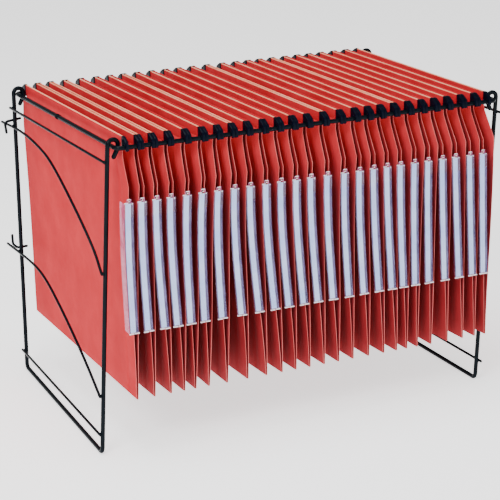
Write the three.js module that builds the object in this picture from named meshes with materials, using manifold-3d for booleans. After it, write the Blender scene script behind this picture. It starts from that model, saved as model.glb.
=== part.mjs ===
// Hanging file rack: a closed wire loop carried by two wire end frames, with a run of linked lateral
// file pockets whose hangers hook over the two long rails.
// Millimetres, +Z up. X runs along the rails, and Y from the front rail to the back rail.
// While it is being built, X = 0 is the left short bar, Y = 0 the front rail and Z = 0 the floor;
// the last lines move the origin to the bottom centre of the whole rack.
import * as THREE from "three";
import { mergeVertices } from "three/addons/utils/BufferGeometryUtils.js";
import Module from "manifold-3d";

const wasm = await Module();
wasm.setup();

// ---- Driving dimensions ----

const RAIL_GAP = 330; // between the axes of the two long rails, the lateral file standard
const LOOP_LENGTH = 507; // between the axes of the two short bars
const RAIL_Z = 369; // height of the loop's wire axis
const LOOP_CORNER = 8; // bend radius at the loop's four corners
const HEAVY = 2.7; // radius of the heavy wire
const THIN = 1.7; // radius of the thin wire
const GAP = 0.3; // left between pieces that touch

// End frames: a U of heavy wire whose two ends are bent into crooks around a short bar.
const POST_INSET = 9.5; // from a rail's axis to the post beside it
const CROOK_RADIUS = 6.3; // the crook's arch, and the post's distance outside the short bar
const ARCH_Z = RAIL_Z + 2.4;
const CROOK_TOP = ARCH_Z + CROOK_RADIUS;
const TAIL_BEND_Z = RAIL_Z - 2;
const TAIL_TIP = { inward: 1.5, z: RAIL_Z - 11.5 };
const FOOT_BEND = 6; // bend radius between a post and the bottom bar
const WELD_SINK = 0.4; // how far a welded cross wire sinks into the posts
const CROSS_WIRE_HEIGHTS = [26, 352.4];

// The light wire frames lean: each number is how far a foot stands outward of its crook.
const LEFT = {
  name: "left", barX: 0, outward: -1, frontLean: 19.4, backLean: -0.6, frontOver: 2, backOver: 5,
};
const RIGHT = {
  name: "right", barX: LOOP_LENGTH, outward: 1, frontLean: -19.9, backLean: -14.1, frontOver: 5, backOver: 2,
};

// Bowed thin wires on the outside of each end frame, from the front post past the back post.
const UPPER_ARC = [
  [9.4, 221.6], [40, 245.8], [104.4, 280.1], [177.6, 313.3], [230, 325.2], [290, 329.9], [358.8, 327.4],
];
const LOWER_ARC = [
  [9.1, 73.2], [48, 92.5], [86, 109.9], [150, 136.8], [210.6, 157.7], [266, 164], [365.1, 161.8],
];

// Hangers: flat bars between a front and a back hook; each inner one joins two neighbouring files.
const FILE_COUNT = 25;
const FILE_PITCH = 19.035;
const FIRST_HANGER_X = 15.9;
const BAR_OFFSET = 2; // from the middle of a joined hanger to each of its two bars
const BAR_THICKNESS = 1.6;
const BAR_TOP = RAIL_Z + 11.9;
const BAR_BOTTOM = RAIL_Z + 1.9;
const HOOK_ROOT = 8; // how far a hook reaches inside the rail's axis
const HOOK_WIDTH = 4; // of one file's hook; a joined pair is twice as wide
const HOOK_THROAT = 3.1; // radius of the hook's seat on the rail
const HOOK_TIP = RAIL_Z - 3.4; // the lowest point of a hook's nose

// Pockets: folded board, open at the top, hanging as a narrow V.
const BOARD = 1;
const POCKET_BOTTOM = 71;
const FRONT_EDGE = -14; // both edges stand proud of the rails
const BACK_EDGE = 342;
const NECK = 8.5; // from a rail's axis to the board's corner beside the hook
const FOLD_RADIUS = 2.2;
const BOW = 5; // how far the front edges of the panels bow to the left, on average
const BOW_SPREAD = 4; // how much more or less it is along the run
const LAST_SWAY = 4.5; // the last pocket rests near the right frame's post
const LAST_BOW = 3;

// ---- Shared shapes ----

// A closed or open round wire through the points, as rings carried along without twist.
// flatDownAt names the point whose ring has a flat that faces the floor.
function wire(points, radius, { closed = false, flatDownAt = null, sides = 8 } = {}) {
  const count = points.length;
  const tangents = points.map((point, i) => {
    const before = points[closed ? (i + count - 1) % count : Math.max(i - 1, 0)];
    const after = points[closed ? (i + 1) % count : Math.min(i + 1, count - 1)];
    const arriving = point.clone().sub(before).normalize();
    const leaving = after.clone().sub(point).normalize();
    return arriving.add(leaving).normalize();
  });
  const steepest = Math.abs(tangents[0].z) > 0.9 ? new THREE.Vector3(0, 1, 0) : new THREE.Vector3(0, 0, 1);
  const normals = [steepest.projectOnPlane(tangents[0]).normalize()];
  for (let i = 1; i < count; i++) {
    const turn = new THREE.Quaternion().setFromUnitVectors(tangents[i - 1], tangents[i]);
    normals.push(normals[i - 1].clone().applyQuaternion(turn));
  }
  let phase = 0;
  if (flatDownAt !== null) {
    const across = tangents[flatDownAt].clone().cross(normals[flatDownAt]);
    phase = Math.atan2(-across.z, -normals[flatDownAt].z);
  }
  const positions = [];
  points.forEach((point, i) => {
    const across = tangents[i].clone().cross(normals[i]);
    for (let k = 0; k < sides; k++) {
      const angle = phase + ((k + 0.5) * 2 * Math.PI) / sides;
      const vertex = point.clone();
      vertex.addScaledVector(normals[i], radius * Math.cos(angle));
      vertex.addScaledVector(across, radius * Math.sin(angle));
      positions.push(vertex.x, vertex.y, vertex.z);
    }
  });
  const index = [];
  const spans = closed ? count : count - 1;
  for (let i = 0; i < spans; i++) {
    const here = i * sides;
    const next = ((i + 1) % count) * sides;
    for (let k = 0; k < sides; k++) {
      const side = (k + 1) % sides;
      index.push(here + k, here + side, next + side, here + k, next + side, next + k);
    }
  }
  if (!closed) {
    const last = (count - 1) * sides;
    for (let k = 1; k < sides - 1; k++) {
      index.push(0, k + 1, k);
      index.push(last, last + k, last + k + 1);
    }
  }
  return indexedGeometry(positions, index);
}

function indexedGeometry(positions, index) {
  const geometry = new THREE.BufferGeometry();
  geometry.setAttribute("position", new THREE.Float32BufferAttribute(positions, 3));
  geometry.setIndex(index);
  geometry.computeVertexNormals();
  return geometry;
}

// An outline drawn in (Y, Z) and made `width` thick along X, centred on x.
function plateAcrossX(outline, x, width) {
  const shape = new THREE.Shape(outline.map(([y, z]) => new THREE.Vector2(y, z)));
  const geometry = new THREE.ExtrudeGeometry(shape, { depth: width, bevelEnabled: false });
  const cyclic = new THREE.Matrix4().makeBasis(
    new THREE.Vector3(0, 1, 0), new THREE.Vector3(0, 0, 1), new THREE.Vector3(1, 0, 0),
  );
  geometry.applyMatrix4(cyclic);
  geometry.translate(x - width / 2, 0, 0);
  return geometry;
}

function toSolid(geometry) {
  const bare = geometry.clone();
  bare.deleteAttribute("normal");
  bare.deleteAttribute("uv");
  const merged = mergeVertices(bare, 1e-4);
  return new wasm.Manifold(new wasm.Mesh({
    numProp: 3,
    vertProperties: new Float32Array(merged.attributes.position.array),
    triVerts: new Uint32Array(merged.index.array),
  }));
}

function joined(geometries) {
  const solid = geometries.map(toSolid).reduce((whole, piece) => whole.add(piece));
  const mesh = solid.getMesh();
  return indexedGeometry(Array.from(mesh.vertProperties), Array.from(mesh.triVerts));
}

// ---- Materials ----

const WIRE_BLACK = new THREE.MeshStandardMaterial({ color: 0x0c0e12, roughness: 0.3, metalness: 0.2 });
const HANGER_BLACK = new THREE.MeshStandardMaterial({ color: 0x15161b, roughness: 0.45, metalness: 0 });
const POCKET_RED = new THREE.MeshStandardMaterial({ color: 0xb8262c, roughness: 0.7, metalness: 0 });

const rack = new THREE.Group();

function addPiece(name, geometry, material) {
  const mesh = new THREE.Mesh(geometry, material);
  mesh.name = name;
  rack.add(mesh);
}

// ---- Top loop ----

function loopPoints() {
  const corners = [
    { x: LOOP_LENGTH - LOOP_CORNER, y: RAIL_GAP - LOOP_CORNER, from: 0 },
    { x: LOOP_CORNER, y: RAIL_GAP - LOOP_CORNER, from: 90 },
    { x: LOOP_CORNER, y: LOOP_CORNER, from: 180 },
    { x: LOOP_LENGTH - LOOP_CORNER, y: LOOP_CORNER, from: 270 },
  ];
  const points = [];
  for (const corner of corners) {
    for (const turn of [0, 30, 60, 90]) {
      const angle = THREE.MathUtils.degToRad(corner.from + turn);
      const x = corner.x + LOOP_CORNER * Math.cos(angle);
      const y = corner.y + LOOP_CORNER * Math.sin(angle);
      points.push(new THREE.Vector3(x, y, RAIL_Z));
    }
  }
  return points;
}

// ---- End frames ----

// A point of an end frame's leaning plane, `out` outward of the short bar's axis.
function framePoint(side, out, y, z) {
  const along = (y - POST_INSET) / (RAIL_GAP - 2 * POST_INSET);
  const footLean = THREE.MathUtils.lerp(side.frontLean, side.backLean, along);
  const lean = (footLean * (CROOK_TOP - z)) / (CROOK_TOP - HEAVY);
  return new THREE.Vector3(side.barX + side.outward * (out + lean), y, z);
}

// From the tail's tip, over the short bar and down to the post.
function crookPoints(side, y) {
  const points = [
    framePoint(side, -TAIL_TIP.inward, y, TAIL_TIP.z),
    framePoint(side, -CROOK_RADIUS, y, TAIL_BEND_Z),
  ];
  for (let turn = 0; turn <= 180; turn += 30) {
    const angle = THREE.MathUtils.degToRad(turn);
    const out = -CROOK_RADIUS * Math.cos(angle);
    points.push(framePoint(side, out, y, ARCH_Z + CROOK_RADIUS * Math.sin(angle)));
  }
  return points;
}

// The bend from a post into the bottom bar; inward is +1 at the front post and -1 at the back post.
function footPoints(side, postY, inward) {
  return [0, 30, 60, 90].map((turn) => {
    const angle = THREE.MathUtils.degToRad(turn);
    const y = postY + inward * FOOT_BEND * (1 - Math.cos(angle));
    return framePoint(side, CROOK_RADIUS, y, HEAVY + FOOT_BEND * (1 - Math.sin(angle)));
  });
}

function endFrame(side) {
  const backPost = RAIL_GAP - POST_INSET;
  const front = [...crookPoints(side, POST_INSET), ...footPoints(side, POST_INSET, 1)];
  const back = [...crookPoints(side, backPost), ...footPoints(side, backPost, -1)];
  const pieces = [wire([...front, ...back.reverse()], HEAVY, { flatDownAt: front.length - 1 })];
  const weldOut = CROOK_RADIUS + HEAVY + THIN - WELD_SINK;
  for (const z of CROSS_WIRE_HEIGHTS) {
    const start = framePoint(side, weldOut, POST_INSET - side.frontOver, z);
    const end = framePoint(side, weldOut, backPost + side.backOver, z);
    pieces.push(wire([start, end], THIN));
  }
  return joined(pieces);
}

function bowedWire(side, outline) {
  const out = CROOK_RADIUS + HEAVY + THIN + GAP;
  return wire(outline.map(([y, z]) => framePoint(side, out, y, z)), THIN);
}

// Small bent wires behind the back left post, which hook the rack to the next one.
function linkHook(outline) {
  return wire(outline.map(([out, y, z]) => framePoint(LEFT, CROOK_RADIUS + out, y, z)), THIN);
}

// ---- Hangers ----

function hangerX(i) {
  const gather = 5.9 * Math.sin(0.2 * i - 2.03);
  const jostle = 1.54 * Math.sin(0.725 * i - 3) + 1.19 * Math.sin(1.28 * i + 1.695);
  return FIRST_HANGER_X + FILE_PITCH * i + gather + jostle;
}

function hookOutline(toBack) {
  const outline = [
    [HOOK_ROOT, BAR_TOP], [4, BAR_TOP], [-4.6, RAIL_Z + 6.8], [-6, RAIL_Z + 4], [-6, HOOK_TIP],
    [-HOOK_THROAT, HOOK_TIP],
  ];
  for (let turn = 180; turn >= 0; turn -= 45) {
    const angle = THREE.MathUtils.degToRad(turn);
    outline.push([HOOK_THROAT * Math.cos(angle), RAIL_Z + HOOK_THROAT * Math.sin(angle)]);
  }
  outline.push([HOOK_THROAT, RAIL_Z - 3], [HOOK_ROOT, RAIL_Z - 3]);
  return toBack ? outline.map(([y, z]) => [RAIL_GAP - y, z]) : outline;
}

function hanger(i) {
  const single = i === 0 || i === FILE_COUNT;
  const x = hangerX(i);
  const width = single ? HOOK_WIDTH : 2 * HOOK_WIDTH;
  const barLength = RAIL_GAP - 2 * (HOOK_ROOT - 1);
  const pieces = [plateAcrossX(hookOutline(false), x, width), plateAcrossX(hookOutline(true), x, width)];
  for (const offset of single ? [0] : [-BAR_OFFSET, BAR_OFFSET]) {
    const bar = new THREE.BoxGeometry(BAR_THICKNESS, barLength, BAR_TOP - BAR_BOTTOM);
    bar.translate(x + offset, RAIL_GAP / 2, (BAR_TOP + BAR_BOTTOM) / 2);
    pieces.push(bar);
  }
  return joined(pieces);
}

// ---- Pockets ----

// 0 at the back edge and 1 at the front edge.
function frontShare(y) {
  return THREE.MathUtils.clamp((BACK_EDGE - y) / (BACK_EDGE - FRONT_EDGE), 0, 1);
}

// Where the fold at the bottom of pocket n hangs: it sways at the front and hangs straight at the back.
function foldX(n, y) {
  const middle = (hangerX(n - 1) + hangerX(n)) / 2;
  const slow = -4 * Math.sin(0.891 * n + 2.28) - 3.2 * Math.sin(0.351 * n + 0.22);
  const quick = 2.3 * Math.sin(0.65 * n + 0.67) + 2.46 * Math.sin(1.3 * n - 2.79);
  const sway = n === FILE_COUNT ? LAST_SWAY : -7.5 + 0.6 * n + slow + quick;
  return middle + sway * frontShare(y);
}

// How far the boards bow at a depth of 0 (the bar) to 1 (the fold): most a third of the way down.
// The right panel is held straighter by the fold, and the run's last panel bows to the right.
function bow(n, side, depth, y) {
  const profile = 6.75 * depth * (1 - depth) ** 2 * frontShare(y) ** 1.5;
  if (n === FILE_COUNT && side > 0) return LAST_BOW * profile;
  const leftBow = -(BOW + BOW_SPREAD * Math.sin((Math.PI * (n - 1)) / 16)) * profile;
  return side < 0 ? leftBow : leftBow * (1 - depth) ** 0.6;
}

// The board's front and back ends at each height: a neck under the bar, then wider below the rails.
const POCKET_ROWS = [
  { z: BAR_BOTTOM - GAP, front: NECK, back: RAIL_GAP - NECK },
  { z: RAIL_Z - 6, front: NECK, back: RAIL_GAP - NECK },
  { z: RAIL_Z - 12, front: NECK - 1.5, back: RAIL_GAP + 7 },
  { z: 326, front: FRONT_EDGE, back: BACK_EDGE },
  { z: 265, front: FRONT_EDGE, back: BACK_EDGE },
  { z: 195, front: FRONT_EDGE, back: BACK_EDGE },
  { z: 125, front: FRONT_EDGE, back: BACK_EDGE },
  { z: POCKET_BOTTOM + FOLD_RADIUS, front: FRONT_EDGE, back: BACK_EDGE },
];
const POCKET_COLUMNS = [0, 0.35, 0.7, 1];

function pocket(n) {
  const top = POCKET_ROWS[0].z;
  const foldZ = POCKET_BOTTOM + FOLD_RADIUS;
  const leftTop = hangerX(n - 1) + (n === 1 ? 0 : BAR_OFFSET);
  const rightTop = hangerX(n) - (n === FILE_COUNT ? 0 : BAR_OFFSET);
  // Down the left panel, round the fold and up the right panel, with the board's outer and inner faces.
  const faceAt = (row, y, side, skin) => {
    const depth = (top - row.z) / (top - foldZ);
    const atTop = side < 0 ? leftTop : rightTop;
    const atFold = foldX(n, y) + side * FOLD_RADIUS;
    return THREE.MathUtils.lerp(atTop, atFold, depth) + bow(n, side, depth, y) + side * skin;
  };
  const stations = [];
  for (const row of POCKET_ROWS) stations.push({ row, side: -1 });
  stations.push({ row: POCKET_ROWS.at(-1), side: 0 });
  for (const row of POCKET_ROWS.toReversed()) stations.push({ row, side: 1 });
  const positions = [];
  for (const skin of [BOARD / 2, -BOARD / 2]) {
    for (const { row, side } of stations) {
      for (const share of POCKET_COLUMNS) {
        const y = THREE.MathUtils.lerp(row.front, row.back, share);
        const x = side === 0 ? foldX(n, y) : faceAt(row, y, side, skin);
        const z = side === 0 ? POCKET_BOTTOM + BOARD / 2 - skin : row.z;
        positions.push(x, y, z);
      }
    }
  }
  return indexedGeometry(positions, sheetFaces(stations.length, POCKET_COLUMNS.length));
}

// Triangles of a thick sheet: an outer grid, an inner grid facing the other way, and the rim between.
function sheetFaces(rows, columns) {
  const index = [];
  const inner = rows * columns;
  const quad = (a, b, c, d) => index.push(a, c, b, a, d, c);
  for (let r = 0; r < rows - 1; r++) {
    for (let c = 0; c < columns - 1; c++) {
      const a = r * columns + c;
      const b = a + columns;
      quad(a, b, b + 1, a + 1);
      quad(inner + a, inner + a + 1, inner + b + 1, inner + b);
    }
  }
  for (let r = 0; r < rows - 1; r++) {
    const front = r * columns;
    const back = front + columns - 1;
    quad(front, inner + front, inner + front + columns, front + columns);
    quad(back, back + columns, inner + back + columns, inner + back);
  }
  for (let c = 0; c < columns - 1; c++) {
    const last = (rows - 1) * columns + c;
    quad(c, c + 1, inner + c + 1, inner + c);
    quad(last, inner + last, inner + last + 1, last + 1);
  }
  return index;
}

// ---- Assembly ----

addPiece("top_rail_loop", wire(loopPoints(), HEAVY, { closed: true }), WIRE_BLACK);

for (const side of [LEFT, RIGHT]) {
  addPiece(`${side.name}_end_frame`, endFrame(side), WIRE_BLACK);
  addPiece(`${side.name}_upper_arc`, bowedWire(side, UPPER_ARC), WIRE_BLACK);
  addPiece(`${side.name}_lower_arc`, bowedWire(side, LOWER_ARC), WIRE_BLACK);
}

const LINK_Y = RAIL_GAP - POST_INSET + HEAVY + THIN + GAP;
// Each point is [outward of the post's axis, Y, Z].
const UPPER_LINK = [[-8.5, LINK_Y, 337.6], [9, LINK_Y, 335.4], [12, LINK_Y, 332.6], [10.5, LINK_Y, 321]];
const LOWER_LINK = [
  [-9, LINK_Y, 167.5], [2, LINK_Y, 167], [4.5, LINK_Y + 3, 167], [4.5, LINK_Y + 16, 167.6],
  [4.5, LINK_Y + 18, 179],
];
addPiece("left_upper_link_hook", linkHook(UPPER_LINK), WIRE_BLACK);
addPiece("left_lower_link_hook", linkHook(LOWER_LINK), WIRE_BLACK);

const twoDigits = (number) => String(number).padStart(2, "0");
for (let i = 0; i <= FILE_COUNT; i++) addPiece(`hanger_${twoDigits(i + 1)}`, hanger(i), HANGER_BLACK);
for (let n = 1; n <= FILE_COUNT; n++) addPiece(`file_${twoDigits(n)}`, pocket(n), POCKET_RED);

const box = new THREE.Box3().setFromObject(rack);
const centre = box.getCenter(new THREE.Vector3());
rack.position.set(-centre.x, -centre.y, -box.min.z);
rack.updateMatrixWorld(true);

export default rack;
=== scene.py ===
"""Hanging file rack: the visual model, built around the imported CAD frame, in metres.

Shapes are laid out in rack millimetres: X = 0 on the left short bar, Y = 0 on the front rail and
Z = 0 on the floor. at() carries them to the frame's metres.
"""
import math
import random

import bmesh
import bpy
from mathutils import Matrix, Quaternion, Vector


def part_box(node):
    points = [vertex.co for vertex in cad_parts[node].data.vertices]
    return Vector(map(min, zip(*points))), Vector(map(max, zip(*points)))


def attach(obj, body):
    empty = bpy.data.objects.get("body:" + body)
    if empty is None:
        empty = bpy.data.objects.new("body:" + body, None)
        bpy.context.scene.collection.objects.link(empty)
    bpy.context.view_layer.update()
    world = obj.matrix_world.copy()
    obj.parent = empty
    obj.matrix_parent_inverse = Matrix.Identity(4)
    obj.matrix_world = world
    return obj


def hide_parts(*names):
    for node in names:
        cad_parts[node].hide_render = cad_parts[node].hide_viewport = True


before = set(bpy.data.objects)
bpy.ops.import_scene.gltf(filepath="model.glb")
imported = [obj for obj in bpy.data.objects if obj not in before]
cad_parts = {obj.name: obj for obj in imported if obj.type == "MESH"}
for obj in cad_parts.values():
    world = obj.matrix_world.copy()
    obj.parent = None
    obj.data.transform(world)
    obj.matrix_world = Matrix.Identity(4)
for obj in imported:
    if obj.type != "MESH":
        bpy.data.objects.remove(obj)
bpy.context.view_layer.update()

# ---- Rack dimensions, millimetres ----

MM = 0.001
RAIL_GAP = 330
LOOP_LENGTH = 507
RAIL_Z = 369
LOOP_CORNER = 8
HEAVY = 2.7
THIN = 1.7

POST_INSET = 9.5
CROOK_RADIUS = 6.3
ARCH_Z = RAIL_Z + 2.4
CROOK_TOP = ARCH_Z + CROOK_RADIUS
TAIL_BEND_Z = RAIL_Z - 2
TAIL_TIP_IN = 1.5
TAIL_TIP_Z = RAIL_Z - 11.5
FOOT_BEND = 6
CROSS_WIRE_HEIGHTS = (26, 352.4)
WELD_Y = 180  # where the two ends of the loop's wire meet, on the left short bar

LEFT = {"name": "left", "bar_x": 0, "outward": -1, "front_lean": 19.4, "back_lean": -0.6,
        "front_over": 2, "back_over": 5}
RIGHT = {"name": "right", "bar_x": LOOP_LENGTH, "outward": 1, "front_lean": -19.9, "back_lean": -14.1,
         "front_over": 5, "back_over": 2}

# The bowed wires' centre lines as (Y, Z), from the front post to past the back one.
UPPER_ARC = [(9.4, 221.6), (40, 245.8), (104.4, 280.1), (177.6, 313.3), (230, 325.2), (290, 329.9),
             (358.8, 327.4)]
LOWER_ARC = [(9.1, 73.2), (48, 92.5), (86, 109.9), (150, 136.8), (210.6, 157.7), (266, 164), (365.1, 161.8)]

FILE_COUNT = 25
FILE_PITCH = 19.035
FIRST_HANGER_X = 15.9
BAR_OFFSET = 2
BAR_TOP = RAIL_Z + 11.9
BAR_BOTTOM = RAIL_Z + 1.9
BAR_HALF = 0.7
HOOK_ROOT = 8
LUG_WIDTH = 3.7
HOOK_THROAT = 3.1
HOOK_TIP = RAIL_Z - 3.4
LINK_BLOCK = (2.9, 5)  # how far outside a rail the block that joins two hooks begins and ends
LEFT_HEM_HALF = 0.85
RIGHT_HEM_HALF = 1
DOUBLE_CREAM = (1, 2, 3, 7, 13, 18)  # hangers whose right bar also shows its pale edge

BOARD = 0.6
POCKET_BOTTOM = 71
FOLD_RADIUS = 0.9
FRONT_EDGE = -14
BACK_EDGE = 342
NECK = 8.5
NECK_END_Z = 363  # the neck ends here, the step beside the rail at STEP_Z, the slant at SLANT_Z
STEP_Z = 357
SLANT_Z = 326
BOARD_TOP = BAR_BOTTOM - 0.4
CREASE_Y = 9
CREASE_DEPTH = 0.6
CREASE_HALF_SHARE = 0.008
CREASE_TOP_Z = 352
LAST_SWAY = 4.5
LAST_BOW = 3

LABEL_TOP = 309
LABEL_BOTTOM = 155.5
LABEL_FRONT_Y = -19.5
LABEL_LEFT = 3.5  # how far a label's middle stands to the left of its board's edge
FIRST_LABEL_LEFT = 1.3
CHANNEL_WIDTH = 12
PAPER_SPAN = (-4.4, 2.1)  # the paper sits to the left in its channel
CHANNEL_DEPTH = 14.5
CHANNEL_WALL = 0.35
LABEL_SHEET = 0.25  # thickness of the paper and of the painted reflection bands beside it
LABEL_STEPS = 9
SEED = 7

SHARP_DEGREES = 35
BEND_STEPS = 6
CURVE_STEPS = 8

# ---- Camera and lights: places in rack millimetres for the camera, in metres for the lights ----

CAMERA_PLACE = (-766.9, -1878.1, 874.1)
CAMERA_YAW = 26.41
CAMERA_PITCH = -17.17
CAMERA_ROLL = -0.60
CAMERA_LENS = 134.05
SENSOR_WIDTH = 36
LIGHT_TARGET = (0, 0, 0.22)
LIGHTS = [("key", (-1.9, -1.5, 1.9), 1.1, 66), ("top", (-0.3, -0.1, 2.3), 1.2, 34),
          ("front", (0.9, -2.4, 1.0), 1.2, 7)]
AMBIENT = 0.38
FLOOR_SIZE = 24
FLOOR_GLOW = 1.35

loop_low, loop_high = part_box("top_rail_loop")
LOOP_CENTRE = (Vector(loop_low) + Vector(loop_high)) / 2


def at(x, y, z):
    offset = Vector((x - LOOP_LENGTH / 2, y - RAIL_GAP / 2, z - RAIL_Z))
    return LOOP_CENTRE + offset * MM


def lerp(a, b, t):
    return a + (b - a) * t


# ---- Camera ----

def make_camera():
    yaw = math.radians(CAMERA_YAW)
    pitch = math.radians(CAMERA_PITCH)
    roll = math.radians(CAMERA_ROLL)
    forward = Vector((math.sin(yaw) * math.cos(pitch), math.cos(yaw) * math.cos(pitch), math.sin(pitch)))
    level_right = Vector((math.cos(yaw), -math.sin(yaw), 0))
    level_up = level_right.cross(forward)
    right = level_right * math.cos(roll) + level_up * math.sin(roll)
    up = level_up * math.cos(roll) - level_right * math.sin(roll)
    data = bpy.data.cameras.new("camera")
    data.lens = CAMERA_LENS
    data.sensor_width = SENSOR_WIDTH
    data.clip_end = 50
    camera = bpy.data.objects.new("camera", data)
    place = at(*CAMERA_PLACE)
    turn = Matrix((right, up, -forward)).transposed().to_4x4()
    camera.matrix_world = Matrix.Translation(place) @ turn
    bpy.context.scene.collection.objects.link(camera)
    bpy.context.scene.camera = camera


make_camera()


# ---- Materials ----

def new_material(name):
    """A Principled material; returns its material, nodes, links and shader."""
    material = bpy.data.materials.new(name)
    material.use_nodes = True
    nodes = material.node_tree.nodes
    return material, nodes, material.node_tree.links, nodes["Principled BSDF"]


def add_noise(nodes, links, scale, detail=4, stretch=(1, 1, 1)):
    """Object-space noise, its output named Fac."""
    place = nodes.new("ShaderNodeTexCoord")
    mapping = nodes.new("ShaderNodeMapping")
    mapping.inputs["Scale"].default_value = stretch
    noise = nodes.new("ShaderNodeTexNoise")
    noise.inputs["Scale"].default_value = scale
    noise.inputs["Detail"].default_value = detail
    links.new(place.outputs["Object"], mapping.inputs["Vector"])
    links.new(mapping.outputs["Vector"], noise.inputs["Vector"])
    return noise.outputs["Fac"]


def add_ramp(nodes, links, fac, stops):
    ramp = nodes.new("ShaderNodeValToRGB")
    elements = ramp.color_ramp.elements
    while len(elements) < len(stops):
        elements.new(0.5)
    for element, (position, color) in zip(elements, stops):
        element.position = position
        element.color = (*color, 1)
    links.new(fac, ramp.inputs["Fac"])
    return ramp.outputs["Color"]


def add_bump(nodes, links, shader, height, strength, distance):
    bump = nodes.new("ShaderNodeBump")
    bump.inputs["Strength"].default_value = strength
    bump.inputs["Distance"].default_value = distance
    links.new(height, bump.inputs["Height"])
    links.new(bump.outputs["Normal"], shader.inputs["Normal"])


def board_material(name, dark, middle, light, roughness):
    """Pressed file board: soft mottling, a fine fibre grain and a matt surface."""
    material, nodes, links, shader = new_material(name)
    mottling = add_noise(nodes, links, 26, detail=6)
    color = add_ramp(nodes, links, mottling, [(0.3, dark), (0.52, middle), (0.75, light)])
    links.new(color, shader.inputs["Base Color"])
    rough = add_noise(nodes, links, 140, detail=3)
    spread = nodes.new("ShaderNodeMapRange")
    spread.inputs["To Min"].default_value = roughness - 0.08
    spread.inputs["To Max"].default_value = roughness + 0.08
    links.new(rough, spread.inputs["Value"])
    links.new(spread.outputs["Result"], shader.inputs["Roughness"])
    fibres = add_noise(nodes, links, 900, detail=5, stretch=(1, 0.35, 1))
    add_bump(nodes, links, shader, fibres, 0.25, 0.0004)
    shader.inputs["Specular IOR Level"].default_value = 0.15
    return material


def painted_shade_inner_board_material(name, painted_shade, dark, middle, light, heights):
    """Board with painted shade that deepens its colour down the pocket, between two heights in metres."""
    material = board_material(name, dark, middle, light, 0.75)
    nodes = material.node_tree.nodes
    links = material.node_tree.links
    shader = nodes["Principled BSDF"]
    surface = shader.inputs["Base Color"].links[0].from_socket
    place = nodes.new("ShaderNodeTexCoord")
    split = nodes.new("ShaderNodeSeparateXYZ")
    height = nodes.new("ShaderNodeMapRange")
    height.inputs["From Min"].default_value = heights[0]
    height.inputs["From Max"].default_value = heights[1]
    blend = nodes.new("ShaderNodeMix")
    blend.data_type = "RGBA"
    blend.inputs["A"].default_value = (*painted_shade, 1)
    links.new(place.outputs["Object"], split.inputs["Vector"])
    links.new(split.outputs["Z"], height.inputs["Value"])
    links.new(height.outputs["Result"], blend.inputs["Factor"])
    links.new(surface, blend.inputs["B"])
    links.new(blend.outputs["Result"], shader.inputs["Base Color"])
    return material


def wire_material():
    """Gloss black dip coating with a slight orange-peel ripple."""
    material, nodes, links, shader = new_material("black_wire_coating")
    tone = add_noise(nodes, links, 60)
    color = add_ramp(nodes, links, tone, [(0.3, (0.002, 0.003, 0.005)), (0.8, (0.004, 0.007, 0.010))])
    links.new(color, shader.inputs["Base Color"])
    shader.inputs["Roughness"].default_value = 0.25
    shader.inputs["IOR"].default_value = 1.1
    shader.inputs["Coat Weight"].default_value = 0.08
    shader.inputs["Coat Roughness"].default_value = 0.05
    shader.inputs["Specular Tint"].default_value = (0.55, 0.85, 1, 1)
    ripple = add_noise(nodes, links, 420, detail=2)
    add_bump(nodes, links, shader, ripple, 0.15, 0.0004)
    return material


def hook_material():
    """Near-black moulded plastic with a satin grain."""
    material, nodes, links, shader = new_material("black_hook_plastic")
    tone = add_noise(nodes, links, 300)
    color = add_ramp(nodes, links, tone, [(0.3, (0.0015, 0.002, 0.006)), (0.8, (0.003, 0.005, 0.013))])
    links.new(color, shader.inputs["Base Color"])
    shader.inputs["Roughness"].default_value = 0.3
    shader.inputs["IOR"].default_value = 1.1
    shader.inputs["Specular Tint"].default_value = (0.6, 0.8, 1, 1)
    shader.inputs["Coat Weight"].default_value = 0.08
    shader.inputs["Coat Roughness"].default_value = 0.16
    shader.inputs["Coat Tint"].default_value = (0.55, 0.8, 1, 1)
    grain = add_noise(nodes, links, 1500, detail=2)
    add_bump(nodes, links, shader, grain, 0.2, 0.0002)
    return material


def vinyl_material(name, dark, light, alpha, gloss=0.6):
    """Thin flexible vinyl, seen through by its alpha, with a rippled gloss."""
    material, nodes, links, shader = new_material(name)
    tone = add_noise(nodes, links, 70)
    color = add_ramp(nodes, links, tone, [(0.35, dark), (0.7, light)])
    links.new(color, shader.inputs["Base Color"])
    shader.inputs["Roughness"].default_value = 0.12
    shader.inputs["Alpha"].default_value = alpha
    shader.inputs["Specular IOR Level"].default_value = gloss
    ripple = add_noise(nodes, links, 160, detail=2, stretch=(1, 1, 0.3))
    add_bump(nodes, links, shader, ripple, 0.3, 0.0006)
    return material


RED_BOARD = board_material("red_board", (0.49, 0.010, 0.017), (0.54, 0.015, 0.023), (0.60, 0.023, 0.031),
                           0.75)
# The pockets' inside faces: a lighter copy of the red board, painted light falling into the pockets, with
# painted shade darkening it towards the bottom.
RED_INNER_PAINTED_LIGHT = painted_shade_inner_board_material("red_board_inner_painted_light_and_shade", (0.31, 0.026, 0.034), (0.76, 0.036, 0.046),
                                 (0.84, 0.047, 0.058), (0.92, 0.060, 0.072), (0.285, 0.371))
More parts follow.
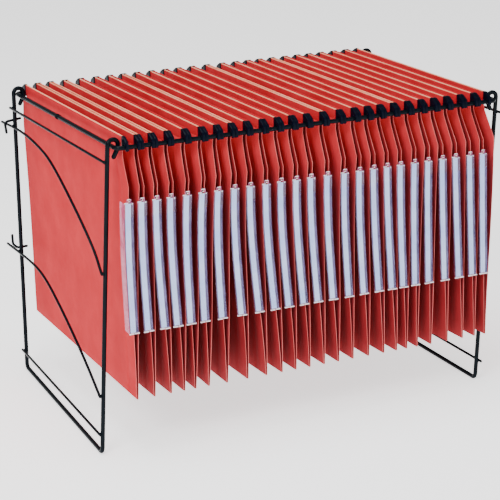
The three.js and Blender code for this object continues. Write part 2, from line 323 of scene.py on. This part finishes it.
# Outer faces that face a neighbouring pocket: a darker copy of the red board, painted shade between the
# pockets.
RED_PAINTED_SHADE = board_material("red_board_painted_shade_between", (0.26, 0.011, 0.016), (0.30, 0.015, 0.020),
                         (0.34, 0.020, 0.026), 0.8)
CUT_EDGE = board_material("board_cut_edge", (0.66, 0.11, 0.10), (0.74, 0.15, 0.14), (0.80, 0.20, 0.18), 0.85)
CREAM_HEM = board_material("cream_hem", (1.0, 0.31, 0.17), (1.0, 0.37, 0.22), (1.0, 0.44, 0.29), 0.6)
LABEL_PAPER = board_material("label_paper", (0.42, 0.60, 1.0), (0.52, 0.69, 1.0), (0.66, 0.80, 1.0), 0.8)
WIRE_BLACK = wire_material()
HOOK_BLACK = hook_material()
CLEAR_VINYL = vinyl_material("clear_label_vinyl", (0.42, 0.34, 0.60), (0.66, 0.58, 0.82), 0.1)
# Opaque near-black violet: painted reflection of the clear channel's side walls, laid as bands beside the
# paper.
VIOLET_PAINTED_REFLECTION = vinyl_material("violet_painted_reflection_band", (0.02, 0.01, 0.06), (0.07, 0.04, 0.18), 1, 0.1)
# Pink: painted reflection of the red board, on the clear channel's left wall and in the glints at its top.
PINK_PAINTED_REFLECTION = vinyl_material("pink_painted_reflection_wall", (0.42, 0.05, 0.20), (0.80, 0.26, 0.50), 0.5)
# Pale vinyl for the rims below the paper and for the painted glints above it.
PALE_RIM_AND_GLINT_VINYL = vinyl_material("pale_label_end_and_painted_glint", (0.86, 0.70, 0.74), (0.97, 0.90, 0.95), 0.9)


# ---- Mesh helpers ----

def make_piece(name, shapes, materials, body, nodes=()):
    """One object from (points, faces, material index or list of them) shapes."""
    points = []
    faces = []
    face_materials = []
    for shape_points, shape_faces, index in shapes:
        base = len(points)
        points.extend(shape_points)
        faces.extend(tuple(base + i for i in face) for face in shape_faces)
        face_materials.extend(index if isinstance(index, list) else [index] * len(shape_faces))
    mesh = bpy.data.meshes.new(name)
    mesh.from_pydata(points, [], faces)
    for material in materials:
        mesh.materials.append(material)
    mesh.polygons.foreach_set("material_index", face_materials)
    mesh.polygons.foreach_set("use_smooth", [True] * len(faces))
    build = bmesh.new()
    build.from_mesh(mesh)
    bmesh.ops.recalc_face_normals(build, faces=build.faces)
    build.to_mesh(mesh)
    build.free()
    mesh.set_sharp_from_angle(angle=math.radians(SHARP_DEGREES))
    piece = bpy.data.objects.new(name, mesh)
    bpy.context.scene.collection.objects.link(piece)
    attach(piece, body)
    if nodes:
        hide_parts(*nodes)
    return piece


def smooth_path(points):
    """A Catmull-Rom curve through points given in rack millimetres."""
    padded = [points[0] * 2 - points[1], *points, points[-1] * 2 - points[-2]]
    path = []
    for i in range(1, len(padded) - 2):
        a, b, c, d = padded[i - 1:i + 3]
        for k in range(CURVE_STEPS):
            t = k / CURVE_STEPS
            path.append(0.5 * (2 * b + (c - a) * t + (2 * a - 5 * b + 4 * c - d) * t * t
                               + (3 * b - a - 3 * c + d) * t ** 3))
    path.append(points[-1])
    return path


def rounded_path(points, radius):
    """Straight lines with each inner corner replaced by a bend."""
    path = [points[0]]
    for before, corner, after in zip(points, points[1:], points[2:]):
        arriving = (before - corner).normalized()
        leaving = (after - corner).normalized()
        half = arriving.angle(leaving) / 2
        reach = min(radius / math.tan(half), (before - corner).length * 0.48, (after - corner).length * 0.48)
        start = corner + arriving * reach
        end = corner + leaving * reach
        for k in range(BEND_STEPS + 1):
            t = k / BEND_STEPS
            path.append(start.lerp(corner, t).lerp(corner.lerp(end, t), t))
    path.append(points[-1])
    return path


def tube(path, radius, closed=False, sides=16):
    """A round wire along a path in rack millimetres, with domed ends unless it is closed."""
    count = len(path)
    tangents = []
    for i, point in enumerate(path):
        before = path[i - 1] if closed or i else point
        after = path[(i + 1) % count] if closed or i < count - 1 else point
        tangents.append(((point - before).normalized() + (after - point).normalized()).normalized())
    start = Vector((0, 1, 0)) if abs(tangents[0].z) > 0.9 else Vector((0, 0, 1))
    normal = (start - tangents[0] * start.dot(tangents[0])).normalized()
    rings = []
    for i, point in enumerate(path):
        if i:
            normal = tangents[i - 1].rotation_difference(tangents[i]) @ normal
        rings.append((point, tangents[i], normal.copy(), radius))
    if not closed:
        for end, sign in ((0, -1), (-1, 1)):
            point, tangent, across, _ = rings[end]
            dome = [(point + tangent * sign * radius * math.sin(a), tangent, across, radius * math.cos(a))
                    for a in (math.radians(30), math.radians(60), math.radians(82))]
            rings = dome[::-1] + rings if sign < 0 else rings + dome
    points = []
    for point, tangent, across, ring_radius in rings:
        side = tangent.cross(across)
        for k in range(sides):
            angle = 2 * math.pi * k / sides
            offset = across * math.cos(angle) + side * math.sin(angle)
            points.append(at(*(point + offset * ring_radius)))
    faces = []
    ring_count = len(rings)
    for i in range(ring_count if closed else ring_count - 1):
        here = i * sides
        there = ((i + 1) % ring_count) * sides
        for k in range(sides):
            after = (k + 1) % sides
            faces.append((here + k, here + after, there + after, there + k))
    if not closed:
        faces.append(tuple(range(sides)))
        faces.append(tuple(range((ring_count - 1) * sides, ring_count * sides)))
    return points, faces, 0


def bead(centre, size, turn=None, sides=12):
    """A small rounded lump of weld metal."""
    turn = turn or Quaternion()
    rows = 6
    points = []
    for r in range(1, rows):
        height = math.pi * r / rows
        for k in range(sides):
            around = 2 * math.pi * k / sides
            local = Vector((size[0] * math.sin(height) * math.cos(around),
                            size[1] * math.sin(height) * math.sin(around), size[2] * math.cos(height)))
            points.append(at(*(centre + turn @ local)))
    points.append(at(*(centre + turn @ Vector((0, 0, size[2])))))
    points.append(at(*(centre - turn @ Vector((0, 0, size[2])))))
    top, bottom = len(points) - 2, len(points) - 1
    faces = []
    for r in range(rows - 2):
        for k in range(sides):
            after = (k + 1) % sides
            faces.append((r * sides + k, r * sides + after, (r + 1) * sides + after, (r + 1) * sides + k))
    for k in range(sides):
        after = (k + 1) % sides
        faces.append((top, after, k))
        faces.append((bottom, (rows - 2) * sides + k, (rows - 2) * sides + after))
    return points, faces, 0


# ---- Wire frame ----

def frame_point(side, out, y, z):
    along = (y - POST_INSET) / (RAIL_GAP - 2 * POST_INSET)
    foot_lean = lerp(side["front_lean"], side["back_lean"], along)
    lean = foot_lean * (CROOK_TOP - z) / (CROOK_TOP - HEAVY)
    return Vector((side["bar_x"] + side["outward"] * (out + lean), y, z))


def loop_path():
    far_x = LOOP_LENGTH - LOOP_CORNER
    far_y = RAIL_GAP - LOOP_CORNER
    corners = [(far_x, far_y, 0), (LOOP_CORNER, far_y, 90), (LOOP_CORNER, LOOP_CORNER, 180),
               (far_x, LOOP_CORNER, 270)]
    path = []
    for x, y, start in corners:
        for turn in range(0, 91, 10):
            angle = math.radians(start + turn)
            reach = Vector((math.cos(angle), math.sin(angle), 0)) * LOOP_CORNER
            path.append(Vector((x, y, RAIL_Z)) + reach)
    return path


def crook_path(side, y):
    tail = [frame_point(side, -TAIL_TIP_IN, y, TAIL_TIP_Z), frame_point(side, -CROOK_RADIUS, y, TAIL_BEND_Z),
            frame_point(side, -CROOK_RADIUS, y, ARCH_Z)]
    path = rounded_path(tail, 3)[:-1]
    for turn in range(0, 181, 15):
        angle = math.radians(turn)
        z = ARCH_Z + CROOK_RADIUS * math.sin(angle)
        path.append(frame_point(side, -CROOK_RADIUS * math.cos(angle), y, z))
    return path


def foot_path(side, post_y, inward):
    path = []
    for turn in range(0, 91, 10):
        angle = math.radians(turn)
        y = post_y + inward * FOOT_BEND * (1 - math.cos(angle))
        path.append(frame_point(side, CROOK_RADIUS, y, HEAVY + FOOT_BEND * (1 - math.sin(angle))))
    return path


def weld_bead(side, y, z, out):
    return bead(frame_point(side, out, y, z), (1.7, 2.9, 2.3))


def build_end_frame(side):
    name = side["name"]
    body = f"{name}_frame"
    back_post = RAIL_GAP - POST_INSET
    front = crook_path(side, POST_INSET) + foot_path(side, POST_INSET, 1)
    back = crook_path(side, back_post) + foot_path(side, back_post, -1)
    make_piece(f"{name}_frame_wire", [tube(front + back[::-1], HEAVY, sides=20)], [WIRE_BLACK], body,
               [f"{name}_end_frame"])
    cross_out = CROOK_RADIUS + HEAVY + THIN - 0.5
    for z, place in zip(CROSS_WIRE_HEIGHTS, ("foot", "top")):
        path = [frame_point(side, cross_out, POST_INSET - side["front_over"], z),
                frame_point(side, cross_out, back_post + side["back_over"], z)]
        make_piece(f"{name}_{place}_cross_wire", [tube(path, THIN)], [WIRE_BLACK], body)
    bow_out = CROOK_RADIUS + HEAVY + THIN + 0.1
    for outline, place in ((UPPER_ARC, "upper"), (LOWER_ARC, "lower")):
        path = smooth_path([frame_point(side, bow_out, y, z) for y, z in outline])
        make_piece(f"{name}_{place}_bowed_wire", [tube(path, THIN)], [WIRE_BLACK], body,
                   [f"{name}_{place}_arc"])
    weld_out = CROOK_RADIUS + HEAVY
    beads = [weld_bead(side, y, z, weld_out) for y in (POST_INSET, back_post) for z in CROSS_WIRE_HEIGHTS]
    for outline in (UPPER_ARC, LOWER_ARC):
        beads.append(weld_bead(side, POST_INSET, outline[0][1], weld_out))
        (y_a, z_a), (y_b, z_b) = outline[-2:]
        crossing = lerp(z_a, z_b, (back_post - y_a) / (y_b - y_a))
        beads.append(weld_bead(side, back_post, crossing + 0.4, weld_out))
    make_piece(f"{name}_weld_beads", beads, [WIRE_BLACK], body)


def build_link_hooks():
    link_y = RAIL_GAP - POST_INSET + HEAVY + THIN + 0.1
    upper = [(-8.5, link_y, 337.6), (9, link_y, 335.4), (12, link_y, 332.6), (10.5, link_y, 321)]
    lower = [(-9, link_y, 167.5), (3.6, link_y, 167), (4.5, link_y + 17, 167.4), (4.5, link_y + 18, 179)]
    for place, outline in (("upper", upper), ("lower", lower)):
        points = [frame_point(LEFT, CROOK_RADIUS + out, y, z) for out, y, z in outline]
        weld_z = outline[0][2] - 0.6
        weld = bead(frame_point(LEFT, CROOK_RADIUS, link_y - THIN, weld_z), (2.9, 1.6, 2.2))
        make_piece(f"left_{place}_link_wire", [tube(rounded_path(points, 4), THIN), weld], [WIRE_BLACK],
                   "left_frame", [f"left_{place}_link_hook"])


def build_loop():
    wire = tube(loop_path(), HEAVY, closed=True, sides=20)
    make_piece("rail_loop_wire", [wire], [WIRE_BLACK], "rails", ["top_rail_loop"])
    ridge_offsets = (-3.2, -1.1, 1.4, 3.4)
    ridge_size = (HEAVY + 0.55, HEAVY + 0.55, 0.75)
    along_y = Vector((0, 0, 1)).rotation_difference(Vector((0, 1, 0)))
    ridges = [bead(Vector((0, WELD_Y + offset, RAIL_Z)), ridge_size, along_y, sides=20)
              for offset in ridge_offsets]
    make_piece("loop_butt_weld", ridges, [WIRE_BLACK], "rails")


build_loop()
build_end_frame(LEFT)
build_end_frame(RIGHT)
build_link_hooks()


# ---- Hangers ----

def hanger_x(i):
    gather = 5.9 * math.sin(0.2 * i - 2.03)
    jostle = 1.54 * math.sin(0.725 * i - 3) + 1.19 * math.sin(1.28 * i + 1.695)
    return FIRST_HANGER_X + FILE_PITCH * i + gather + jostle


def lug_outline():
    """A hook seen from the side, as (Y, Z) in rack millimetres, for the front end."""
    outline = [(HOOK_ROOT, BAR_TOP), (4.2, BAR_TOP), (3.2, BAR_TOP - 0.5), (-3.9, RAIL_Z + 7.2),
               (-5.3, RAIL_Z + 5.4), (-6, RAIL_Z + 3.2), (-6, HOOK_TIP + 0.8), (-5.2, HOOK_TIP),
               (-3.7, HOOK_TIP), (-HOOK_THROAT, HOOK_TIP + 0.6)]
    for turn in range(180, -1, -20):
        angle = math.radians(turn)
        outline.append((HOOK_THROAT * math.cos(angle), RAIL_Z + HOOK_THROAT * math.sin(angle)))
    outline += [(HOOK_THROAT, RAIL_Z - 2.2), (HOOK_THROAT + 0.8, RAIL_Z - 3), (HOOK_ROOT, RAIL_Z - 3)]
    return outline


def lug_template():
    """One bevelled hook as (x, y, z) points centred on X = 0, and its faces."""
    build = bmesh.new()
    corners = [build.verts.new((-LUG_WIDTH / 2, y, z)) for y, z in lug_outline()]
    face = build.faces.new(corners)
    pulled = bmesh.ops.extrude_face_region(build, geom=[face])
    far_side = [v for v in pulled["geom"] if isinstance(v, bmesh.types.BMVert)]
    bmesh.ops.translate(build, vec=(LUG_WIDTH, 0, 0), verts=far_side)
    rims_and_glints = [edge for edge in build.edges if abs(edge.verts[0].co.x - edge.verts[1].co.x) < 0.01]
    bmesh.ops.bevel(build, geom=rims_and_glints, offset=0.45, segments=2, affect="EDGES", profile=0.6)
    build.verts.index_update()
    points = [tuple(v.co) for v in build.verts]
    faces = [tuple(v.index for v in f.verts) for f in build.faces]
    build.free()
    return points, faces


LUG_POINTS, LUG_FACES = lug_template()


def lug(x, to_back):
    points = [at(x + px, RAIL_GAP - py if to_back else py, pz) for px, py, pz in LUG_POINTS]
    return points, LUG_FACES, 0


def block(low, high, chamfer=0.3):
    """A box with its long edges chamfered, as an eight-sided prism along Y."""
    (x0, y0, z0), (x1, y1, z1) = low, high
    c = chamfer
    section = [(x0 + c, z0), (x1 - c, z0), (x1, z0 + c), (x1, z1 - c), (x1 - c, z1), (x0 + c, z1),
               (x0, z1 - c), (x0, z0 + c)]
    points = [at(x, y, z) for y in (y0, y1) for x, z in section]
    faces = [(k, (k + 1) % 8, (k + 1) % 8 + 8, k + 8) for k in range(8)]
    faces += [tuple(range(8)), tuple(range(8, 16))]
    return points, faces, 0


def build_hanger(i):
    single = i in (0, FILE_COUNT)
    x = hanger_x(i)
    offsets = (0,) if single else (-BAR_OFFSET, BAR_OFFSET)
    shapes = []
    for offset in offsets:
        for to_back in (False, True):
            shapes.append(lug(x + offset, to_back))
        low = (x + offset - BAR_HALF, HOOK_ROOT - 1, BAR_BOTTOM + 0.3)
        high = (x + offset + BAR_HALF, RAIL_GAP - HOOK_ROOT + 1, BAR_TOP - 0.4)
        shapes.append(block(low, high))
    if not single:
        near, far = LINK_BLOCK
        for y0, y1 in ((-far, -near), (RAIL_GAP + near, RAIL_GAP + far)):
            shapes.append(block((x - 1.6, y0, RAIL_Z - 2.8), (x + 1.6, y1, RAIL_Z - 0.3), 0.5))
    make_piece(f"hanger_{i + 1:02d}_hooks", shapes, [HOOK_BLACK], "files", [f"hanger_{i + 1:02d}"])


for i in range(FILE_COUNT + 1):
    build_hanger(i)


# ---- File pockets ----

def front_share(y):
    return min(max((BACK_EDGE - y) / (BACK_EDGE - FRONT_EDGE), 0), 1)


def fold_x(n, y):
    middle = (hanger_x(n - 1) + hanger_x(n)) / 2
    slow = -4 * math.sin(0.891 * n + 2.28) - 3.2 * math.sin(0.351 * n + 0.22)
    quick = 2.3 * math.sin(0.65 * n + 0.67) + 2.46 * math.sin(1.3 * n - 2.79)
    sway = LAST_SWAY if n == FILE_COUNT else -7.5 + 0.6 * n + slow + quick
    return middle + sway * front_share(y)


def bow(n, side, depth, y):
    profile = 6.75 * depth * (1 - depth) ** 2 * front_share(y) ** 1.5
    if n == FILE_COUNT and side > 0:
        return LAST_BOW * profile
    left_bow = -(5 + 4 * math.sin(math.pi * (n - 1) / 16)) * profile
    return left_bow if side < 0 else left_bow * (1 - depth) ** 0.6


def board_x(n, side, y, z, wave=None):
    """The middle of a panel's thickness; side is -1 for the left panel and 1 for the right one."""
    fold_z = POCKET_BOTTOM + FOLD_RADIUS
    depth = min(max((BOARD_TOP - z) / (BOARD_TOP - fold_z), 0), 1)
    if side < 0:
        top_x = hanger_x(n - 1) + (0 if n == 1 else BAR_OFFSET)
    else:
        top_x = hanger_x(n) - (0 if n == FILE_COUNT else BAR_OFFSET)
    x = lerp(top_x, fold_x(n, y) + side * FOLD_RADIUS, depth) + bow(n, side, depth, y)
    if wave:
        swell = 4 * depth * (1 - depth)
        x += swell * 0.7 * math.sin(wave[0] + y * 0.013 + z * 0.006)
        x += swell * 0.35 * math.sin(wave[1] + y * 0.031 - z * 0.017)
    return x


ROW_HEIGHTS = [BOARD_TOP, 366, NECK_END_Z, 360, STEP_Z, 349, 341, 333, SLANT_Z, 318, 300, 280, 255, 230, 205,
               180, 155, 130, 105, 88, POCKET_BOTTOM + FOLD_RADIUS]
CREASE_SHARE = (CREASE_Y - FRONT_EDGE) / (BACK_EDGE - FRONT_EDGE)
COLUMN_SHARES = [0, 0.012, 0.03, CREASE_SHARE - CREASE_HALF_SHARE, CREASE_SHARE,
                 CREASE_SHARE + CREASE_HALF_SHARE, 0.09, 0.14, 0.22, 0.32, 0.42, 0.52, 0.62, 0.72, 0.82, 0.9,
                 0.96, 0.99, 1]


def edge_y(z):
    """The board's front and back ends at a height."""
    step_front = NECK - 1.5
    step_back = RAIL_GAP + 7
    if z >= NECK_END_Z:
        return NECK, RAIL_GAP - NECK
    if z >= STEP_Z:
        t = (NECK_END_Z - z) / (NECK_END_Z - STEP_Z)
        return lerp(NECK, step_front, t), lerp(RAIL_GAP - NECK, step_back, t)
    t = min((STEP_Z - z) / (STEP_Z - SLANT_Z), 1)
    return lerp(step_front, FRONT_EDGE, t), lerp(step_back, BACK_EDGE, t)


def crease_dent(share, z):
    """A scored line that runs down the board behind the front flap."""
    if z > CREASE_TOP_Z:
        return 0
    return CREASE_DEPTH * max(0, 1 - abs(share - CREASE_SHARE) / CREASE_HALF_SHARE)


def board_stations():
    """Down the left panel, round the fold and up the right panel: (side, height, fold angle or None)."""
    stations = [(-1, z, None) for z in ROW_HEIGHTS]
    stations += [(0, POCKET_BOTTOM, angle) for angle in (-60, -30, 0, 30, 60)]
    return stations + [(1, z, None) for z in reversed(ROW_HEIGHTS)]


def build_board(n, rng):
    waves = {side: (rng.uniform(0, 6.28), rng.uniform(0, 6.28)) for side in (-1, 1)}
    stations = board_stations()
    columns = len(COLUMN_SHARES)
    points = []
    for skin in (BOARD / 2, -BOARD / 2):
        for side, z, fold_angle in stations:
            front, back = edge_y(z)
            for share in COLUMN_SHARES:
                y = lerp(front, back, share)
                if fold_angle is None:
                    dent = crease_dent(share, z)
                    x = board_x(n, side, y, z, waves[side]) + side * (skin - dent)
                    points.append(at(x, y, z))
                else:
                    angle = math.radians(fold_angle)
                    radius = FOLD_RADIUS + skin
                    x = fold_x(n, y) + radius * math.sin(angle)
                    points.append(at(x, y, POCKET_BOTTOM + FOLD_RADIUS - radius * math.cos(angle)))
    rows = len(stations)
    inner = rows * columns
    faces = []
    indices = []
    for r in range(rows - 1):
        on_left = r < rows // 2
        exposed = n == 1 if on_left else n == FILE_COUNT
        for c in range(columns - 1):
            a = r * columns + c
            b = a + columns
            faces.append((a, a + 1, b + 1, b))
            faces.append((inner + a, inner + b, inner + b + 1, inner + a + 1))
            # Outer faces are plain board only on the rack's two outside files; elsewhere they take the
            # painted shade copy, and inner faces take the painted light copy.
            indices += [0 if exposed else 3, 2]
    for r in range(rows - 1):
        for a in (r * columns, r * columns + columns - 1):
            faces.append((a, a + columns, inner + a + columns, inner + a))
    for c in range(columns - 1):
        for a in (c, (rows - 1) * columns + c):
            faces.append((a, a + 1, inner + a + 1, inner + a))
    indices += [1] * (len(faces) - len(indices))
    make_piece(f"file_{n:02d}_board", [(points, faces, indices)], [RED_BOARD, CUT_EDGE, RED_INNER_PAINTED_LIGHT, RED_PAINTED_SHADE],
               "files", [f"file_{n:02d}"])


def hem(x, half, top_material):
    """Board folded over a hanger bar, closing onto the panel below; top_material colours its top."""
    section = [(-0.42, BAR_BOTTOM - 4.2), (-half, BAR_BOTTOM + 0.4), (-half, BAR_TOP - 0.9),
               (-half * 0.72, BAR_TOP - 0.12), (0, BAR_TOP + 0.1), (half * 0.72, BAR_TOP - 0.12),
               (half, BAR_TOP - 0.7), (half, BAR_BOTTOM + 0.4), (0.42, BAR_BOTTOM - 4.2)]
    width = len(section)
    stations = [HOOK_ROOT + 0.4, HOOK_ROOT + 1, 90, 165, 240, RAIL_GAP - HOOK_ROOT - 1,
                RAIL_GAP - HOOK_ROOT - 0.4]
    points = []
    for y in stations:
        points.extend(at(x + px, y, pz) for px, pz in section)
    faces = []
    indices = []
    for s in range(len(stations) - 1):
        for k in range(width):
            after = (k + 1) % width
            faces.append((s * width + k, s * width + after, (s + 1) * width + after, (s + 1) * width + k))
            indices.append(top_material if 2 <= k <= 5 else 0)
    faces.append(tuple(range(width)))
    faces.append(tuple(range((len(stations) - 1) * width, len(stations) * width)))
    indices += [1, 1]
    return points, faces, indices


def build_hems(n):
    left = hanger_x(n - 1) + (0 if n == 1 else BAR_OFFSET)
    right = hanger_x(n) - (0 if n == FILE_COUNT else BAR_OFFSET)
    left_hem = hem(left, LEFT_HEM_HALF, 1 if n == 1 or n - 1 in DOUBLE_CREAM else 0)
    right_hem = hem(right, RIGHT_HEM_HALF, 1)
    make_piece(f"file_{n:02d}_hems", [left_hem, right_hem], [RED_BOARD, CREAM_HEM], "files")


def ribbon(section, heights, x_at, index=0):
    """A closed plan section (X offset, Y) swept down heights, sideways to x_at(z)."""
    width = len(section)
    points = []
    for z in heights:
        points.extend(at(x_at(z) + px, py, z) for px, py in section)
    faces = []
    for r in range(len(heights) - 1):
        for k in range(width):
            after = (k + 1) % width
            faces.append((r * width + k, r * width + after, (r + 1) * width + after, (r + 1) * width + k))
    faces.append(tuple(range(width)))
    faces.append(tuple(range((len(heights) - 1) * width, len(heights) * width)))
    return points, faces, index


def label_left(n):
    return FIRST_LABEL_LEFT if n == 1 else LABEL_LEFT


def channel_section(n):
    """The clear channel in plan: a front wall with two walls running back beside the board."""
    half = CHANNEL_WIDTH / 2
    back = LABEL_FRONT_Y + CHANNEL_DEPTH
    left_back = -half + 0.8 if n == 1 else LABEL_LEFT - 2.2
    right_back = label_left(n) + 0.8
    outer = [(left_back - CHANNEL_WALL, back), (-half, LABEL_FRONT_Y + 1), (-half + 1, LABEL_FRONT_Y),
             (half - 1, LABEL_FRONT_Y), (half, LABEL_FRONT_Y + 1), (right_back + CHANNEL_WALL, back)]
    wall = CHANNEL_WALL
    inner = [(right_back, back), (half - wall, LABEL_FRONT_Y + 1.2), (half - 1.2, LABEL_FRONT_Y + wall),
             (-half + 1.2, LABEL_FRONT_Y + wall), (-half + wall, LABEL_FRONT_Y + 1.2), (left_back, back)]
    return outer + inner


def strip_section(left, right, front, thickness):
    return [(left, front), (right, front), (right, front + thickness), (left, front + thickness)]


def label_end_rims_and_glints(edge_x, rng):
    """Two pale rims below the paper; above it, pale and pink bits that are painted glints on the channel's
    top end.
    """
    half = CHANNEL_WIDTH / 2
    front = LABEL_FRONT_Y - 0.3
    rims_and_glints = []
    bottom = LABEL_BOTTOM - 0.4
    for left, right in ((-half - 0.3, -0.4), (0.6, half + 0.3)):
        drop = rng.uniform(0, 0.5)
        section = strip_section(left, right, front, 1.2)
        rims_and_glints.append(ribbon(section, [bottom - drop, bottom - 1.3 - drop], edge_x, 2))
    # Painted glints: pale and pink bits at the channel's top end.
    top = LABEL_TOP + rng.uniform(0.3, 0.8)
    glint_bits = [(-half, -1.5, 0, 0.9, 2), (-3.4, -2.5, 0.9, 4.4, 3), (1.4, 2.4, 0, 4.8, 3),
            (-2.5, 1.4, 3.9, 4.8, 2), (-1.2, 0.6, 1.6, 2.5, 2), (3, 4.4, -1.4, -0.4, 2)]
    for left, right, low, high, index in glint_bits:
        rims_and_glints.append(ribbon(strip_section(left, right, front, 0.8), [top + high, top + low], edge_x, index))
    return rims_and_glints


def build_label(n, rng):
    slip = rng.uniform(-0.6, 0.6)

    def edge_x(z):
        return board_x(n, -1, FRONT_EDGE, z) - label_left(n) + slip

    half = CHANNEL_WIDTH / 2
    stops = [k / LABEL_STEPS for k in range(LABEL_STEPS + 1)]
    heights = [lerp(LABEL_TOP + 0.5, LABEL_BOTTOM - 1.2, t) for t in stops]
    face = LABEL_FRONT_Y + CHANNEL_WALL + 0.15
    # The two dark bands beside the paper are painted reflection.
    right_reflection_band = strip_section(PAPER_SPAN[1] + 0.2, half - 0.8, face, LABEL_SHEET)
    left_reflection_band = strip_section(-half + 0.6, PAPER_SPAN[0] - 0.1, face, LABEL_SHEET)
    section = channel_section(n)
    # The channel's left outer wall takes the pink painted reflection.
    wall_reflection_indices = [3 if k == 0 else 0 for k in range(len(section))] * LABEL_STEPS + [0, 0]
    channel = [ribbon(section, heights, edge_x, wall_reflection_indices), ribbon(right_reflection_band, heights[1:], edge_x, 1),
               ribbon(left_reflection_band, heights[1:], edge_x, 1), *label_end_rims_and_glints(edge_x, rng)]
    make_piece(f"file_{n:02d}_label_channel", channel, [CLEAR_VINYL, VIOLET_PAINTED_REFLECTION, PALE_RIM_AND_GLINT_VINYL, PINK_PAINTED_REFLECTION],
               "files")
    heights = [lerp(LABEL_TOP, LABEL_BOTTOM, t) for t in stops]
    paper = ribbon(strip_section(*PAPER_SPAN, face, LABEL_SHEET), heights, edge_x)
    make_piece(f"file_{n:02d}_label_strip", [paper], [LABEL_PAPER], "files")


rng = random.Random(SEED)
for n in range(1, FILE_COUNT + 1):
    build_board(n, rng)
    build_hems(n)
    build_label(n, rng)


# ---- Floor and light ----

def make_floor():
    bpy.ops.mesh.primitive_plane_add(size=FLOOR_SIZE, location=(0, 0, 0))
    floor = bpy.context.object
    floor.name = "floor"
    material, _, _, shader = new_material("pale_floor")
    shader.inputs["Base Color"].default_value = (0.93, 0.93, 0.93, 1)
    shader.inputs["Roughness"].default_value = 0.95
    shader.inputs["Emission Color"].default_value = (1, 1, 1, 1)
    shader.inputs["Emission Strength"].default_value = FLOOR_GLOW
    floor.data.materials.append(material)


def add_area_light(name, place, size, energy):
    data = bpy.data.lights.new(name, "AREA")
    data.size = size
    data.energy = energy
    light = bpy.data.objects.new(name, data)
    light.location = place
    light.rotation_euler = (Vector(LIGHT_TARGET) - Vector(place)).to_track_quat("-Z", "Y").to_euler()
    bpy.context.scene.collection.objects.link(light)


def make_lights():
    world = bpy.data.worlds.new("studio")
    world.use_nodes = True
    background = world.node_tree.nodes["Background"]
    background.inputs["Color"].default_value = (1, 1, 1, 1)
    background.inputs["Strength"].default_value = AMBIENT
    bpy.context.scene.world = world
    for name, place, size, energy in LIGHTS:
        add_area_light(name, place, size, energy)


make_floor()
make_lights()
